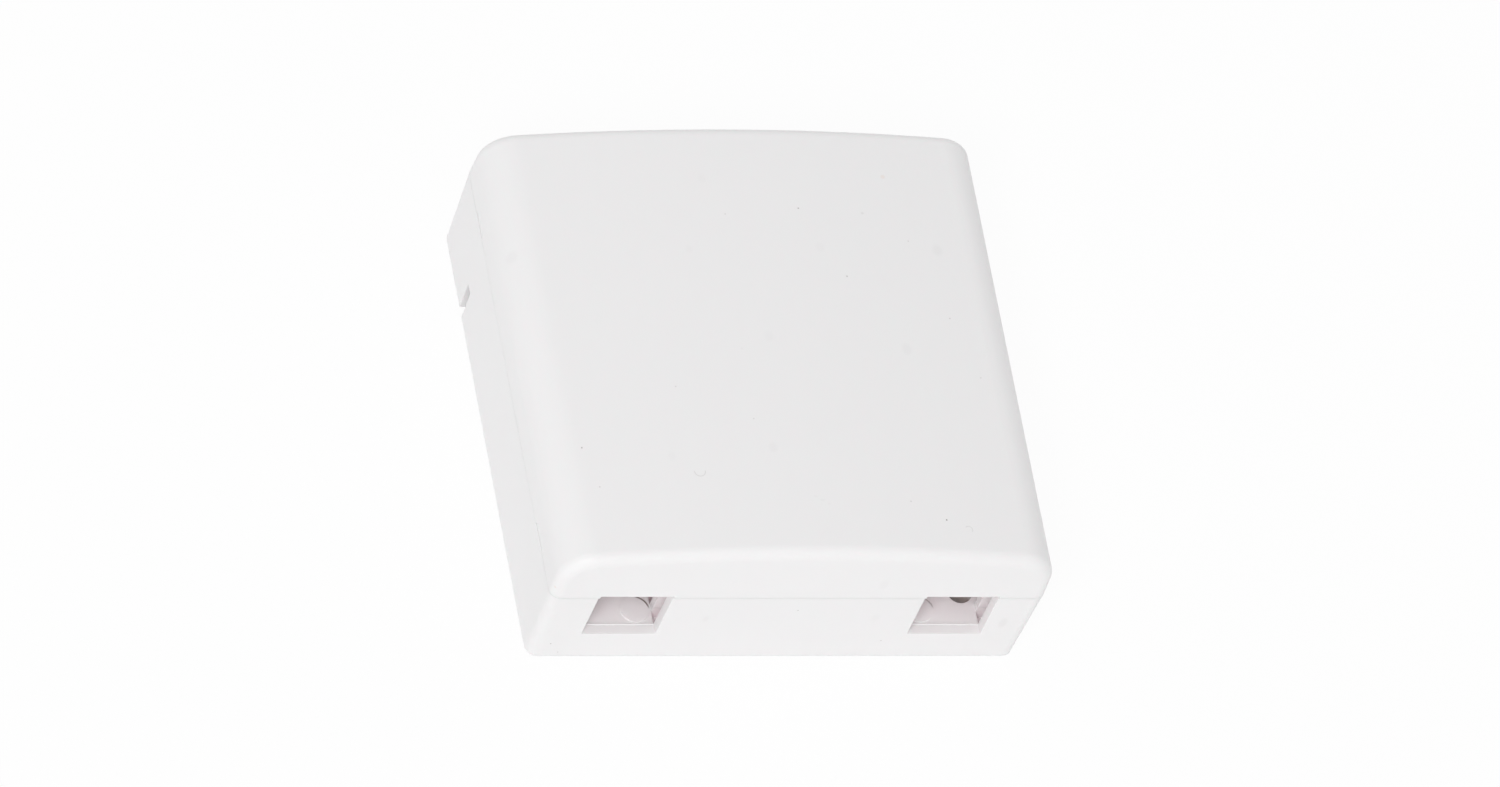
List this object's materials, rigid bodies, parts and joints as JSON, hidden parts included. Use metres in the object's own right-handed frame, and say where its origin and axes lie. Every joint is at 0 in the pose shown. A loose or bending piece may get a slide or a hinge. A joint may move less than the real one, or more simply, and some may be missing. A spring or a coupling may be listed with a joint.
{
  "type": "ethernet socket surface box",
  "caption": "White surface-mount outlet box with a crowned push-on cover and empty rectangular ports for ethernet sockets in its lower end.",
  "frame": {"origin": "middle of the rear face that lies on the wall", "axes": "+X across the box, +Y up the wall and away from the ports, +Z out of the wall"},
  "size_m": [0.08, 0.08, 0.0291],
  "materials": {
    "base_plastic": "fine satin moulded white plastic",
    "cover_plastic": "fine satin moulded white plastic, lightly dusty"
  },
  "bodies": {
    "tray": {"base": "base_plastic"},
    "lid": {"cover": "cover_plastic"}
  },
  "joints": [
    {"name": "cover_lift", "type": "slide", "parent": "tray", "child": "lid", "axis": [0, 0, 1], "range_m": [0, 0.035]}
  ]
}
